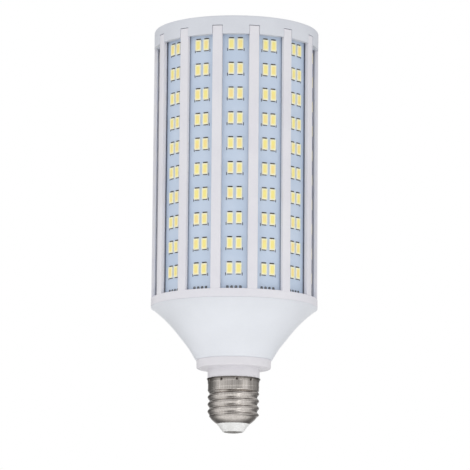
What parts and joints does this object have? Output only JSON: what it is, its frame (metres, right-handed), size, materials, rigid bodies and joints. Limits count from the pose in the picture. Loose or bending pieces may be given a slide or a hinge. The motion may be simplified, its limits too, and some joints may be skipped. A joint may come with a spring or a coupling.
{
  "type": "led light bulb",
  "caption": "Screw-cap LED lamp with light strips set between the ribs of a round white cage, an end cap above and a flared housing below.",
  "frame": {"origin": "centre of the end contact's lower face, at the tip of the screw cap, on the lamp's axis", "axes": "+Z along the lamp's axis from the screw cap to the end cap; -Y through the middle of one light strip"},
  "size_m": [0.085, 0.085, 0.2076],
  "materials": {
    "cap_plastic": "fine satin moulding",
    "cage_plastic": "fine satin moulding",
    "funnel_plastic": "smooth semi-gloss",
    "adapter_plastic": "satin moulding",
    "plated_shell": "bright nickel plate",
    "insulator_plastic": "smooth",
    "contact_metal": "plated",
    "strip_board": "pale solder mask",
    "lamp_body": "white package with a yellow window",
    "ring_laminate": "white solder mask",
    "driver_laminate": "green solder mask",
    "can_sleeve": "shrink sleeve",
    "film_coating": "dipped coating",
    "inductor_winding": "enamelled wire on a ferrite bobbin",
    "chip_moulding": "moulded",
    "fuse_coating": "lacquer",
    "red_wire": "insulated wire",
    "black_wire": "insulated wire"
  },
  "bodies": {
    "root": {"base_adapter": "adapter_plastic", "base_insulator": "insulator_plastic", "bridge_rectifier": "chip_moulding", "cage": "cage_plastic", "centre_contact": "contact_metal", "driver_board": "driver_laminate", "driver_chip": "chip_moulding", "film_capacitor": "film_coating", "funnel": "funnel_plastic", "fuse_resistor": "fuse_coating", "led_board_01": "strip_board", "led_board_02": "strip_board", "led_board_03": "strip_board", "led_board_04": "strip_board", "led_board_05": "strip_board", "led_board_06": "strip_board", "led_board_07": "strip_board", "led_board_08": "strip_board", "led_board_09": "strip_board", "led_board_10": "strip_board", "led_board_11": "strip_board", "led_board_12": "strip_board", "led_board_13": "strip_board", "led_board_14": "strip_board", "leds_01": "lamp_body", "leds_02": "lamp_body", "leds_03": "lamp_body", "leds_04": "lamp_body", "leds_05": "lamp_body", "leds_06": "lamp_body", "leds_07": "lamp_body", "leds_08": "lamp_body", "leds_09": "lamp_body", "leds_10": "lamp_body", "leds_11": "lamp_body", "leds_12": "lamp_body", "leds_13": "lamp_body", "leds_14": "lamp_body", "live_wire": "red_wire", "negative_lead": "black_wire", "neutral_wire": "black_wire", "output_capacitor": "can_sleeve", "positive_lead": "red_wire", "power_inductor": "inductor_winding", "ring_board": "ring_laminate", "screw_shell": "plated_shell", "smoothing_capacitor": "can_sleeve", "switching_transistor": "chip_moulding", "top_cap": "cap_plastic"}
  },
  "joints": []
}
